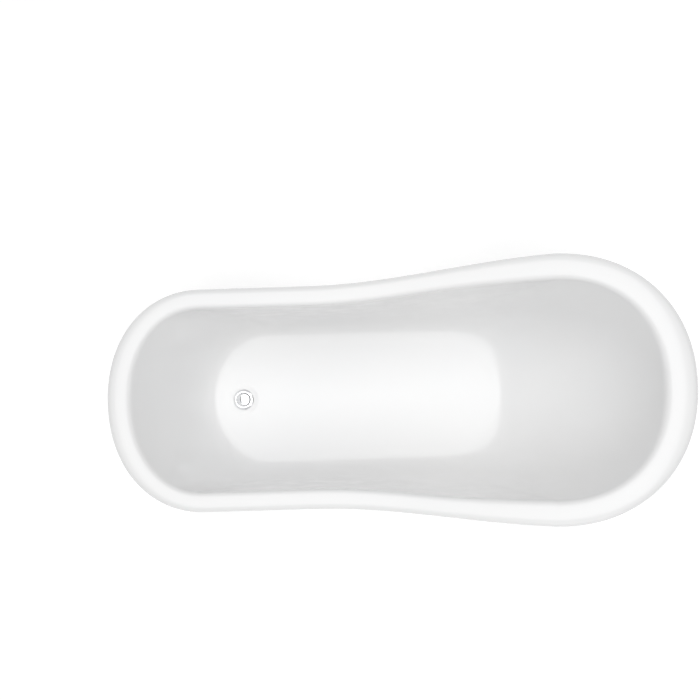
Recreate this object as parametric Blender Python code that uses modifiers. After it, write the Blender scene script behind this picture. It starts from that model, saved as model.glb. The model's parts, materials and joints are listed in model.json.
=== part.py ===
"""Freestanding single-slipper bathtub: a double-walled acrylic tub on four claw feet.

Metres, +Z up. The tub stands on z = 0 with its length along X. The raised, wider head end
points to +X, the narrower drain end to -X, and the plane y = 0 halves the tub.
"""

from collections import namedtuple
from math import atan2, cos, pi, sin

import bmesh
import bpy
from mathutils import Matrix, Vector

# Plan outline of one level of the tub: where its two ends lie, how far each rounded end
# reaches along X, and the half width at each end.
Plan = namedtuple("Plan", "drain_end drain_reach drain_half head_end head_reach head_half")

GAP = 0.0003                    # clearance left between pieces that touch
REACH = 0.010                   # how far a cutter runs past the faces it cuts

# --- Tub -----------------------------------------------------------------------------------
RIM_PLAN = Plan(-0.850, 0.285, 0.3335, 0.850, 0.395, 0.389)     # outermost edge of the rim
FLOOR_PLAN = Plan(-0.608, 0.190, 0.178, 0.360, 0.190, 0.178)    # flat bathing floor
BELLY_PLAN = Plan(-0.650, 0.210, 0.205, 0.470, 0.215, 0.205)    # flat underside of the skin
OUTLINE_POWER = 2.12            # rounded ends are superellipses, a little fuller than ellipses
FLARE_START, FLARE_END = -0.25, 0.50            # the sides widen between these two places
RIM_LOW, RIM_HIGH = 0.600, 0.790                # height of the rim crest at each end
SWEEP_START, SWEEP_END = -0.15, 0.85            # the rim climbs between these two places
FLOOR_TOP = 0.160               # bathing floor above the ground
BELLY_BOTTOM = 0.110            # underside of the outer skin above the ground
BASIN_THICKNESS = 0.007
SKIN_THICKNESS = 0.006

# Rolled rim, measured inwards from its outer edge and downwards from its crest.
ROLL_WIDTH, ROLL_WIDTH_HEAD = 0.061, 0.076      # at the drain end's sides, at the head's sides
ROLL_EXTRA_DRAIN, ROLL_EXTRA_HEAD = 0.014, 0.019    # softer, wider roll at the two tips
CREST_INSET, CREST_INSET_HEAD = 0.031, 0.045
WIDEN_START, WIDEN_END = 0.05, 0.50              # the roll grows to the head's size between these two places
ROLL_DROP = 0.024               # crest down to where the roll meets the wall
ROLL_DROP_EXTRA_DRAIN, ROLL_DROP_EXTRA_HEAD = 0.012, 0.022
ROLL_OUTER_DROP = 0.028         # crest down to the outermost edge
ROLL_POWER = 2.8                # the roll's outer half is a superellipse, a little squarer than an ellipse
WALL_TANGENT, CREST_TANGENT = 0.6, 0.92         # how far the inner half keeps the wall's and the crest's lines
LIP_DROP = 0.045                # crest down to the bottom of the hanging lip
SKIN_TOP_DROP = 0.030           # crest down to the top edge of the outer skin
SKIN_INSET = BASIN_THICKNESS + 0.0008

# How a wall rises: how far out its corner lies, and how closely it hugs the corner from each end.
WallShape = namedtuple("WallShape", "corner low_pull high_pull")
BASIN_SIDE = WallShape(0.093, 0.86, 0.98)
BASIN_HEAD = WallShape(0.300, 0.20, 0.50)
BASIN_DRAIN = WallShape(0.062, 0.85, 0.58)
SKIN_SIDE = WallShape(0.085, 0.78, 0.88)
SKIN_HEAD = WallShape(0.112, 0.70, 0.65)
SKIN_DRAIN = WallShape(0.067, 0.75, 0.75)

# Facets of the lofted shells.
HEAD_STEPS, SIDE_STEPS, DRAIN_STEPS = 16, 13, 14
WALL_STEPS = 8
ROLL_STEPS = 3

# --- Boards inside the double wall ------------------------------------------------------------
BOARD_PLAN = Plan(-0.604, 0.150, 0.165, 0.330, 0.160, 0.165)
BOARD_TOP = FLOOR_TOP - BASIN_THICKNESS - GAP
BOARD_THICKNESS = 0.018
BEARER_WIDTH, BEARER_LENGTH, BEARER_THICKNESS = 0.070, 0.350, 0.0148
BEARER_TOP = BOARD_TOP - BOARD_THICKNESS - GAP

# --- Claw feet ----------------------------------------------------------------------------
HEAD_FOOT_X, DRAIN_FOOT_X, FOOT_Y = 0.410, -0.500, 0.235        # axis of each foot's leveller
FOOT_HEADING = (0.49, 0.87)     # the way each foot points, away from the tub's middle
ANCHOR_REACH = 0.105            # from the leveller axis inwards to the mounting bolt
FLANGE_RADIUS, FLANGE_THICKNESS = 0.034, 0.008
BALL_RADIUS, BALL_HEIGHT = 0.034, 0.052
BALL_FLAT = 0.021               # height of the flat underneath the ball
STEM_BORE, STEM_BORE_TOP = 0.0053, 0.066
BOLT_SEAT = 0.0135              # radius of the room for the bolt's head

# The leg's middle line in the foot's own frame, +X away from the tub, and its radius at each point.
LEG_PATH = (
    (-0.105, 0.0, 0.099), (-0.070, 0.0, 0.097), (-0.035, 0.0, 0.099), (-0.004, 0.0, 0.112),
    (0.018, 0.0, 0.112), (0.018, 0.0, 0.092), (0.005, 0.0, 0.070),
)
LEG_RADII = (0.009, 0.012, 0.018, 0.026, 0.027, 0.022, 0.019)
LEG_WIDENING = 1.5              # width of the leg over its height
LEAF_CENTRE, LEAF_HALF_SIZE, LEAF_LEAN = (0.028, 0.0, 0.150), (0.021, 0.046, 0.060), 0.40

# Toes: their directions round the ball, and the angles from its top where they start and end.
TOE_TURNS = (-1.15, 0.0, 1.15, pi)
TOE_START, TOE_END = 0.35, 2.25
TOE_PROUD, TOE_ARCH = 0.001, 0.003      # middle line outside the ball, and its extra height midway
TOE_RADIUS, CLAW_RADIUS = 0.0085, 0.0032
TOE_STEPS = 5

# --- Fasteners of a foot --------------------------------------------------------------------
BOLT_RADIUS, BOLT_HOLE = 0.005, 0.0055
BOLT_HEAD_RADIUS, BOLT_HEAD_HEIGHT = 0.0098, 0.0064
BOLT_END = 0.0015               # how far the bolt runs past its nut
WASHER_RADIUS, WASHER_THICKNESS = 0.011, 0.002
PLATE_RADIUS, PLATE_THICKNESS = 0.025, 0.003
NUT_RADIUS, NUT_HEIGHT = 0.0098, 0.008
NUT_POCKET = 0.012              # radius of the hole through the bearer round the nut

# --- Leveller of a foot -----------------------------------------------------------------------
STEM_RADIUS = 0.005
STEM_BOTTOM, STEM_TOP = 0.0038, 0.056
CHAMFER = 0.001
PAD_RADIUS, PAD_NECK, PAD_HEIGHT, PAD_EDGE = 0.019, 0.011, 0.008, 0.005
LOCK_NUT_RADIUS, LOCK_NUT_HEIGHT = 0.0098, 0.006

# --- Waste fitting ----------------------------------------------------------------------------
DRAIN_X = -0.521
DISH_RADIUS, DISH_FLAT, DISH_DEPTH = 0.052, 0.039, 0.0025       # shallow dish round the drain
DRAIN_HOLE = 0.026
ACCESS_HOLE = 0.048             # through the skin
BOARD_HOLE = 0.050
FLANGE_OUTER, THROAT, BORE, BARREL = 0.035, 0.024, 0.0195, 0.0245
FLANGE_HEIGHT, FLANGE_SHOULDER, FLANGE_EDGE, FLANGE_ROUNDING = 0.0035, 0.0022, 0.001, 0.002
BARREL_BOTTOM = 0.095
CROSS_BOTTOM, CROSS_HEIGHT, CROSS_WIDTH, HUB_RADIUS = 0.118, 0.006, 0.005, 0.0095
CARTRIDGE_RADIUS, CARTRIDGE_BORE = 0.0065, 0.0040
CARTRIDGE_BOTTOM, CARTRIDGE_TOP = 0.112, 0.136
PLUNGER_RADIUS, PLUNGER_BOTTOM = 0.0035, 0.1155
CAP_RADIUS, CAP_HUB_RADIUS, CAP_HUB_BOTTOM = 0.0222, 0.008, 0.154
CAP_DOME = ((0.0, 0.0048), (0.008, 0.0046), (0.016, 0.0038), (CAP_RADIUS, 0.002))     # radius, height
SEAL_THICKNESS, STOPPER_SEAL_THICKNESS, STOPPER_SEAL_RADIUS = 0.0015, 0.0025, 0.0232
GASKET_RADIUS, GASKET_THICKNESS = 0.040, 0.003
SLIP_WASHER_THICKNESS, COLLAR_THICKNESS = 0.002, 0.003
CARTRIDGE_COLLAR, CARTRIDGE_FLOOR = 0.004, 0.002
SPRING_RADIUS, SPRING_WIRE, SPRING_TURNS = 0.0062, 0.0006, 4.5
SPRING_STEPS = 10               # points along the wire in one turn
TAIL_RADIUS, TAIL_BORE, TAIL_BOTTOM = 0.020, 0.0175, 0.018
SLIP_NUT_RADIUS, SLIP_NUT_BOTTOM, SLIP_NUT_TOP = 0.0335, 0.084, 0.104
DRAIN_NUT_RADIUS, DRAIN_NUT_HEIGHT = 0.038, 0.010

ROUND_STEPS = 20                # facets round a turned piece


# --- Scene set-up -----------------------------------------------------------------------------
def clear_scene():
    """Remove the objects and collections of the file that the script starts in."""
    for item in list(bpy.data.objects):
        bpy.data.objects.remove(item, do_unlink=True)
    for item in list(bpy.data.collections):
        bpy.data.collections.remove(item)


def new_collection(name):
    """A collection linked to the scene."""
    made = bpy.data.collections.new(name)
    bpy.context.scene.collection.children.link(made)
    return made


def material(name, colour, roughness, metallic=0.0):
    """A plain Principled BSDF material."""
    made = bpy.data.materials.new(name)
    made.use_nodes = True
    shader = made.node_tree.nodes["Principled BSDF"]
    shader.inputs["Base Color"].default_value = (*colour, 1.0)
    shader.inputs["Roughness"].default_value = roughness
    shader.inputs["Metallic"].default_value = metallic
    return made


clear_scene()
TUB = new_collection("freestanding_bathtub")
CUTTERS = new_collection("cutters")

ACRYLIC = material("gloss_white_acrylic", (0.90, 0.90, 0.90), 0.12)
CHROME = material("polished_chrome", (0.80, 0.80, 0.82), 0.08, 1.0)
STEEL = material("zinc_plated_steel", (0.60, 0.61, 0.62), 0.35, 1.0)
BRASS = material("brass", (0.75, 0.58, 0.30), 0.30, 1.0)
RUBBER = material("black_rubber", (0.03, 0.03, 0.03), 0.80)
TIMBER = material("plywood", (0.62, 0.45, 0.28), 0.70)


# --- General shapes ---------------------------------------------------------------------------
def add_object(name, mesh, finish=None):
    """Put a mesh in the scene: a named part if it has a finish, and otherwise a cutter."""
    made = bpy.data.objects.new(name, mesh)
    if finish is None:
        CUTTERS.objects.link(made)
        made.hide_render = True
        made.display_type = "WIRE"
    else:
        TUB.objects.link(made)
        mesh.materials.clear()
        mesh.materials.append(finish)
    return made


def mesh_from(name, edit):
    """Turn an edited bmesh into a mesh."""
    mesh = bpy.data.meshes.new(name)
    edit.to_mesh(mesh)
    edit.free()
    return mesh


def prism(name, radius, low, high, centre=(0.0, 0.0), sides=ROUND_STEPS, top_radius=None, finish=None):
    """An upright cylinder, cone or polygonal bar between two heights."""
    edit = bmesh.new()
    bmesh.ops.create_cone(
        edit,
        cap_ends=True,
        segments=sides,
        radius1=radius,
        radius2=radius if top_radius is None else top_radius,
        depth=high - low,
        matrix=Matrix.Translation((centre[0], centre[1], (low + high) / 2)),
    )
    return add_object(name, mesh_from(name, edit), finish)


def block(name, size, centre, finish=None):
    """A box by its size and its centre."""
    edit = bmesh.new()
    bmesh.ops.create_cube(edit, size=1.0, matrix=Matrix.Translation(centre) @ Matrix.Diagonal((*size, 1.0)))
    return add_object(name, mesh_from(name, edit), finish)


def turned(name, profile, finish=None, closed=False, centre=(0.0, 0.0), steps=ROUND_STEPS):
    """A turned piece: (radius, height) points running down the outer side, spun about Z.

    A closed profile goes back up the inner side and makes a ring.
    """
    edit = bmesh.new()
    points = [edit.verts.new((radius, 0.0, height)) for radius, height in profile]
    for first, second in zip(points, points[1:]):
        edit.edges.new((first, second))
    if closed:
        edit.edges.new((points[-1], points[0]))
    made = add_object(name, mesh_from(name, edit), finish)
    made.location = (centre[0], centre[1], 0.0)
    spin = made.modifiers.new("Screw", "SCREW")
    spin.steps = steps
    spin.render_steps = steps
    spin.use_merge_vertices = True
    spin.merge_threshold = 0.00001
    return made


def ring(name, inner, outer, low, high, finish=None, centre=(0.0, 0.0), steps=ROUND_STEPS):
    """A flat ring or a plain tube."""
    profile = [(outer, high), (outer, low), (inner, low), (inner, high)]
    return turned(name, profile, finish, closed=True, centre=centre, steps=steps)


def boolean(target, cutter, operation="DIFFERENCE"):
    """Cut a cutter from an object, or join it on."""
    step = target.modifiers.new(operation.title(), "BOOLEAN")
    step.operation = operation
    step.object = cutter
    return step


def evaluated_mesh(source):
    """The mesh that an object shows once its modifiers have run."""
    bpy.context.view_layer.update()
    graph = bpy.context.evaluated_depsgraph_get()
    return bpy.data.meshes.new_from_object(source.evaluated_get(graph))


def tube(name, points, radii, flatten=1.0, resolution=2):
    """A closed mesh tube along a path, with its own radius at each point.

    flatten widens it along Y. The result is a cutter, ready for a Boolean.
    """
    curve = bpy.data.curves.new(name + "_path", "CURVE")
    curve.dimensions = "3D"
    curve.bevel_depth = 1.0
    curve.bevel_resolution = resolution
    curve.use_fill_caps = True
    spline = curve.splines.new("POLY")
    spline.points.add(len(points) - 1)
    for point, place, radius in zip(spline.points, points, radii):
        point.co = (place[0], place[1] / flatten, place[2], 1.0)
        point.radius = radius
    holder = bpy.data.objects.new(name + "_path", curve)
    CUTTERS.objects.link(holder)
    mesh = evaluated_mesh(holder)
    bpy.data.objects.remove(holder)
    edit = bmesh.new()
    edit.from_mesh(mesh)
    bmesh.ops.remove_doubles(edit, verts=edit.verts, dist=0.00001)
    bmesh.ops.scale(edit, vec=(1.0, flatten, 1.0), verts=edit.verts)
    edit.to_mesh(mesh)
    edit.free()
    return add_object(name, mesh)


def smooth(target, angle=0.6):
    """Shade a piece smooth, with its sharp edges kept."""
    target.data.shade_smooth()
    target.data.set_sharp_from_angle(angle=angle)


# --- Surfaces of the tub ------------------------------------------------------------------------
def blend(low, high, share):
    """The value a share of the way from low to high."""
    return low + (high - low) * share


def ease(value, start, end):
    """0 before start, 1 after end, and an S-curve between them."""
    share = min(max((value - start) / (end - start), 0.0), 1.0)
    return share * share * (3.0 - 2.0 * share)


def bulge(value):
    """A sine or cosine drawn out to the superellipse of the rounded ends."""
    size = abs(value) ** (2.0 / OUTLINE_POWER)
    return size if value > 0 else -size


def plan_ring(plan):
    """Points round a plan outline, anticlockwise from the middle of the right side of the head."""
    head_centre = plan.head_end - plan.head_reach
    drain_centre = plan.drain_end + plan.drain_reach
    points = []
    for step in range(HEAD_STEPS):
        turn = pi * step / HEAD_STEPS - pi / 2
        x = head_centre + plan.head_reach * bulge(cos(turn))
        points.append(Vector((x, plan.head_half * bulge(sin(turn)))))
    left = []
    for step in range(SIDE_STEPS):
        x = blend(head_centre, drain_centre, step / SIDE_STEPS)
        left.append(Vector((x, blend(plan.drain_half, plan.head_half, ease(x, FLARE_START, FLARE_END)))))
    points += left
    for step in range(DRAIN_STEPS):
        turn = pi * step / DRAIN_STEPS + pi / 2
        x = drain_centre + plan.drain_reach * bulge(cos(turn))
        points.append(Vector((x, plan.drain_half * bulge(sin(turn)))))
    right = [Vector((drain_centre, -plan.drain_half))]
    right += [Vector((point.x, -point.y)) for point in reversed(left[1:])]
    return points + right


def outward(points):
    """The outward direction, in plan, at each point of a ring."""
    directions = []
    for place, point in enumerate(points):
        along = points[(place + 1) % len(points)] - points[place - 1]
        directions.append(Vector((along.y, -along.x)).normalized())
    return directions


def crest_height(x):
    """Height of the rim's crest: level along the drain half, and swept up to the head."""
    return blend(RIM_LOW, RIM_HIGH, ease(x, SWEEP_START, SWEEP_END))


def mixed_shape(side, head, drain, facing):
    """A wall's shape from the way it faces in plan."""
    head_share = max(facing.x, 0.0) ** 2
    drain_share = min(facing.x, 0.0) ** 2
    return WallShape(*(
        a + (b - a) * head_share + (c - a) * drain_share for a, b, c in zip(side, head, drain)
    ))


def curve_point(start, first, second, end, share):
    """A point on a cubic curve."""
    rest = 1.0 - share
    return (
        start * rest ** 3
        + first * 3.0 * rest * rest * share
        + second * 3.0 * rest * share * share
        + end * share ** 3
    )


def wall_curve(low, high, facing, shape):
    """Points up a wall from its foot to its top: flat at the foot, a corner, a leaning wall."""
    corner = low + Vector((*facing, 0.0)) * shape.corner
    first = low.lerp(corner, shape.low_pull)
    second = high.lerp(corner, shape.high_pull)
    points = [curve_point(low, first, second, high, step / WALL_STEPS) for step in range(WALL_STEPS + 1)]
    return points, (high - corner).normalized()


def basin_column(floor_point, rim_point, facing):
    """One line up the bathing surface, from the floor over the rolled rim to the lip's edge."""
    head_side = ease(rim_point.x, WIDEN_START, WIDEN_END)
    head_tip = max(facing.x, 0.0) ** 2
    drain_tip = min(facing.x, 0.0) ** 2
    width = blend(ROLL_WIDTH, ROLL_WIDTH_HEAD, head_side)
    width += ROLL_EXTRA_HEAD * head_tip + ROLL_EXTRA_DRAIN * drain_tip
    drop = ROLL_DROP + ROLL_DROP_EXTRA_HEAD * head_tip + ROLL_DROP_EXTRA_DRAIN * drain_tip
    crest_inset = blend(CREST_INSET, CREST_INSET_HEAD, head_side)
    crest = crest_height(rim_point.x)

    def on_rim(inset, below):
        place = rim_point - facing * inset
        return Vector((place.x, place.y, crest - below))

    wall_top = on_rim(width, drop)
    shape = mixed_shape(BASIN_SIDE, BASIN_HEAD, BASIN_DRAIN, facing)
    column, rising = wall_curve(Vector((*floor_point, FLOOR_TOP)), wall_top, facing, shape)
    top = on_rim(crest_inset, 0.0)
    level = Vector((*facing, 0.0)) * (width - crest_inset) * CREST_TANGENT
    for step in range(1, ROLL_STEPS + 1):
        share = step / ROLL_STEPS
        column.append(curve_point(wall_top, wall_top + rising * drop * WALL_TANGENT, top - level, top, share))
    for step in range(1, ROLL_STEPS + 1):
        turn = pi / 2 * step / ROLL_STEPS
        inset = crest_inset * (1.0 - sin(turn) ** (2.0 / ROLL_POWER))
        below = ROLL_OUTER_DROP * (1.0 - cos(turn) ** (2.0 / ROLL_POWER))
        column.append(on_rim(inset, below))
    column.append(on_rim(0.0, LIP_DROP))
    return column


def skin_column(belly_point, rim_point, facing, clearance):
    """One line up the outer skin, from its flat underside to its edge behind the lip."""
    place = rim_point - facing * (SKIN_INSET - clearance)
    high = Vector((place.x, place.y, crest_height(rim_point.x) - SKIN_TOP_DROP))
    low = Vector((*(belly_point + facing * clearance), BELLY_BOTTOM - clearance))
    shape = mixed_shape(SKIN_SIDE, SKIN_HEAD, SKIN_DRAIN, facing)
    return wall_curve(low, high, facing, shape)[0]


def loft(name, columns, inside_out, close_top, finish=None):
    """A surface through columns of points, closed by one flat face at the bottom.

    Its cells are split the same way everywhere, so surfaces a clearance apart never cross.
    """
    edit = bmesh.new()
    grid = [[edit.verts.new(point) for point in column] for column in columns]
    for place, column in enumerate(grid):
        before = grid[place - 1]
        for low in range(len(column) - 1):
            edit.faces.new((before[low], column[low], column[low + 1]))
            edit.faces.new((before[low], column[low + 1], before[low + 1]))
    edit.faces.new([column[0] for column in reversed(grid)])
    if close_top:
        edit.faces.new([column[-1] for column in grid])
    if inside_out:
        bmesh.ops.reverse_faces(edit, faces=edit.faces)
    return add_object(name, mesh_from(name, edit), finish)


def thicken(target, thickness):
    """Give an open surface a wall behind its faces."""
    wall = target.modifiers.new("Solidify", "SOLIDIFY")
    wall.thickness = thickness
    wall.offset = -1.0
    wall.use_even_offset = True
    wall.use_quality_normals = True


def skin_columns(clearance=0.0):
    """The outer skin's surface, moved outwards by a clearance."""
    rim = plan_ring(RIM_PLAN)
    belly = plan_ring(BELLY_PLAN)
    return [skin_column(b, r, facing, clearance) for b, r, facing in zip(belly, rim, outward(rim))]


def make_basin():
    """The bathing shell: floor, walls, rolled rim and lip in one moulding, with a dished drain."""
    rim = plan_ring(RIM_PLAN)
    floor = plan_ring(FLOOR_PLAN)
    columns = [basin_column(f, r, facing) for f, r, facing in zip(floor, rim, outward(rim))]
    basin = loft("basin_shell", columns, inside_out=True, close_top=False, finish=ACRYLIC)
    thicken(basin, BASIN_THICKNESS)
    dish = prism(
        "drain_dish_cutter",
        DISH_FLAT,
        FLOOR_TOP - DISH_DEPTH,
        FLOOR_TOP + DISH_DEPTH,
        centre=(DRAIN_X, 0.0),
        top_radius=2 * DISH_RADIUS - DISH_FLAT,
    )
    low = FLOOR_TOP - BASIN_THICKNESS - REACH
    hole = prism("drain_hole_cutter", DRAIN_HOLE, low, FLOOR_TOP + REACH, (DRAIN_X, 0.0))
    boolean(basin, dish)
    boolean(basin, hole)
    smooth(basin)


def make_skin(bolt_places):
    """The outer skin, with an access hole under the drain and holes for the feet's bolts."""
    skin = loft("outer_shell", skin_columns(), inside_out=False, close_top=False, finish=ACRYLIC)
    thicken(skin, SKIN_THICKNESS)
    low, high = BELLY_BOTTOM - REACH, BELLY_BOTTOM + SKIN_THICKNESS + REACH
    boolean(skin, prism("access_hole_cutter", ACCESS_HOLE, low, high, (DRAIN_X, 0.0)))
    for name, place in bolt_places.items():
        boolean(skin, prism("skin_hole_cutter_" + name, BOLT_HOLE, low, high, place))
    smooth(skin)


def make_boards(bolt_places):
    """The board that stiffens the floor, and the two bearers that take the feet's bolts."""
    edit = bmesh.new()
    edit.faces.new([edit.verts.new((*point, BOARD_TOP)) for point in plan_ring(BOARD_PLAN)])
    board = add_object("base_board", mesh_from("base_board", edit), TIMBER)
    thicken(board, BOARD_THICKNESS)
    low = BOARD_TOP - BOARD_THICKNESS - REACH
    boolean(board, prism("board_hole_cutter", BOARD_HOLE, low, BOARD_TOP + REACH, (DRAIN_X, 0.0)))
    for end in ("head", "drain"):
        places = [place for name, place in bolt_places.items() if name.startswith(end)]
        size = (BEARER_WIDTH, BEARER_LENGTH, BEARER_THICKNESS)
        bearer = block(end + "_bearer", size, (places[0][0], 0.0, BEARER_TOP - BEARER_THICKNESS / 2), TIMBER)
        for side, place in zip(("left", "right"), places):
            low = BEARER_TOP - BEARER_THICKNESS - REACH
            name = "_".join(("nut_pocket_cutter", end, side))
            boolean(bearer, prism(name, NUT_POCKET, low, BEARER_TOP + REACH, place))


# --- Claw feet ----------------------------------------------------------------------------------
def foot_frames():
    """Each foot's leveller axis and heading, by its corner's name."""
    frames = {}
    for end, x, way in (("head", HEAD_FOOT_X, 1.0), ("drain", DRAIN_FOOT_X, -1.0)):
        for side, across in (("left", 1.0), ("right", -1.0)):
            heading = Vector((way * FOOT_HEADING[0], across * FOOT_HEADING[1])).normalized()
            frames[end + "_" + side] = (Vector((x, across * FOOT_Y)), heading)
    return frames


def toe_path(turn):
    """A toe from the ankle over the ball and down to its claw, as points and radii."""
    points = []
    radii = []
    for step in range(TOE_STEPS + 1):
        share = step / TOE_STEPS
        fall = blend(TOE_START, TOE_END, share)
        away = BALL_RADIUS + TOE_PROUD + TOE_ARCH * sin(pi * share)
        points.append((
            away * sin(fall) * cos(turn),
            away * sin(fall) * sin(turn),
            BALL_HEIGHT + away * cos(fall),
        ))
        radii.append(blend(TOE_RADIUS, CLAW_RADIUS, share * share))
    return points, radii


def foot_mesh():
    """The casting of one foot, before it is fitted to the skin: +X points away from the tub."""
    leg = tube("foot_leg_form", LEG_PATH, LEG_RADII, flatten=LEG_WIDENING)

    anchor = (-ANCHOR_REACH, 0.0)
    flange_top = BELLY_BOTTOM - GAP
    flange = prism("foot_flange_form", FLANGE_RADIUS, flange_top - FLANGE_THICKNESS, flange_top, anchor)

    edit = bmesh.new()
    lean = Matrix.Translation(LEAF_CENTRE) @ Matrix.Rotation(LEAF_LEAN, 4, "Y")
    shape = lean @ Matrix.Diagonal((*LEAF_HALF_SIZE, 1.0))
    bmesh.ops.create_uvsphere(edit, u_segments=14, v_segments=9, radius=1.0, matrix=shape)
    leaf = add_object("foot_leaf_form", mesh_from("foot_leaf_form", edit))

    edit = bmesh.new()
    middle = Matrix.Translation((0.0, 0.0, BALL_HEIGHT))
    bmesh.ops.create_uvsphere(edit, u_segments=16, v_segments=10, radius=BALL_RADIUS, matrix=middle)
    ball = add_object("foot_ball_form", mesh_from("foot_ball_form", edit))

    for form in (flange, leaf, ball):
        boolean(leg, form, "UNION")
    for number, turn in enumerate(TOE_TURNS):
        points, radii = toe_path(turn)
        boolean(leg, tube("foot_toe_form_" + str(number), points, radii, resolution=1), "UNION")

    boolean(leg, prism("ball_flat_cutter", 2 * BALL_RADIUS, -REACH, BALL_FLAT))
    boolean(leg, prism("stem_bore_cutter", STEM_BORE, 0.0, STEM_BORE_TOP, sides=16))
    seat = flange_top - FLANGE_THICKNESS
    boolean(leg, prism("bolt_seat_cutter", BOLT_SEAT, seat - 3 * REACH, seat, anchor))
    boolean(leg, prism("bolt_hole_cutter", BOLT_HOLE, seat - REACH, flange_top + REACH, anchor, sides=16))
    return evaluated_mesh(leg)


def hexagon_nut_mesh(name, radius, bore, height):
    """A hexagonal nut standing on z = 0."""
    nut = prism(name + "_form", radius, 0.0, height, sides=6)
    boolean(nut, prism(name + "_bore_cutter", bore, -REACH, height + REACH, sides=16))
    return evaluated_mesh(nut)


def bolt_mesh(length):
    """A hexagon-headed bolt, its head hanging below z = 0 and its shank above."""
    bolt = prism("bolt_form", BOLT_HEAD_RADIUS, -BOLT_HEAD_HEIGHT, 0.0, sides=6)
    boolean(bolt, prism("bolt_shank_form", BOLT_RADIUS, -BOLT_HEAD_HEIGHT / 2, length, sides=16), "UNION")
    return evaluated_mesh(bolt)


def make_feet():
    """Four claw feet with their bolts, washers, nuts and backing plates, and their levellers."""
    casting = foot_mesh()
    clearance_form = loft("skin_clearance_cutter", skin_columns(GAP), inside_out=False, close_top=True)

    flange_top = BELLY_BOTTOM - GAP
    washer_top = flange_top - FLANGE_THICKNESS - GAP
    head_top = washer_top - WASHER_THICKNESS - GAP
    plate_low = BELLY_BOTTOM + SKIN_THICKNESS + GAP
    nut_low = plate_low + PLATE_THICKNESS + GAP
    lock_nut_low = BALL_FLAT - GAP - LOCK_NUT_HEIGHT
    bolt = bolt_mesh(nut_low + NUT_HEIGHT + BOLT_END - head_top)
    nut = hexagon_nut_mesh("nut", NUT_RADIUS, BOLT_RADIUS + GAP, NUT_HEIGHT)
    lock_nut = hexagon_nut_mesh("lock_nut", LOCK_NUT_RADIUS, STEM_RADIUS + GAP, LOCK_NUT_HEIGHT)

    def place(name, mesh, finish, spot, height, turn):
        item = add_object(name, mesh, finish)
        item.location = (spot[0], spot[1], height)
        item.rotation_euler = (0.0, 0.0, turn)
        smooth(item)
        return item

    for corner, (axis, heading) in foot_frames().items():
        turn = atan2(heading.y, heading.x)
        anchor = axis - heading * ANCHOR_REACH
        foot = place("claw_foot_" + corner, casting.copy(), CHROME, axis, 0.0, turn)
        boolean(foot, clearance_form)

        place("foot_bolt_" + corner, bolt, STEEL, anchor, head_top, turn)
        place("foot_nut_" + corner, nut, STEEL, anchor, nut_low, turn)
        washer = "foot_washer_" + corner
        ring(washer, BOLT_HOLE, WASHER_RADIUS, washer_top - WASHER_THICKNESS, washer_top, STEEL, anchor)
        plate = "backing_plate_" + corner
        ring(plate, BOLT_HOLE, PLATE_RADIUS, plate_low, plate_low + PLATE_THICKNESS, STEEL, anchor)

        place("lock_nut_" + corner, lock_nut, STEEL, axis, lock_nut_low, turn)
        stem = [
            (0.0, STEM_TOP), (STEM_RADIUS - CHAMFER, STEM_TOP), (STEM_RADIUS, STEM_TOP - CHAMFER),
            (STEM_RADIUS, STEM_BOTTOM), (0.0, STEM_BOTTOM),
        ]
        turned("leveller_stem_" + corner, stem, STEEL, centre=axis, steps=16)
        socket = STEM_BOTTOM - GAP
        pad = [
            (STEM_RADIUS + GAP, PAD_HEIGHT), (PAD_NECK, PAD_HEIGHT), (PAD_RADIUS, PAD_EDGE), (PAD_RADIUS, 0.0),
            (0.0, 0.0), (0.0, socket), (STEM_RADIUS + GAP, socket),
        ]
        turned("leveller_pad_" + corner, pad, RUBBER, closed=True, centre=axis)


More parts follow.
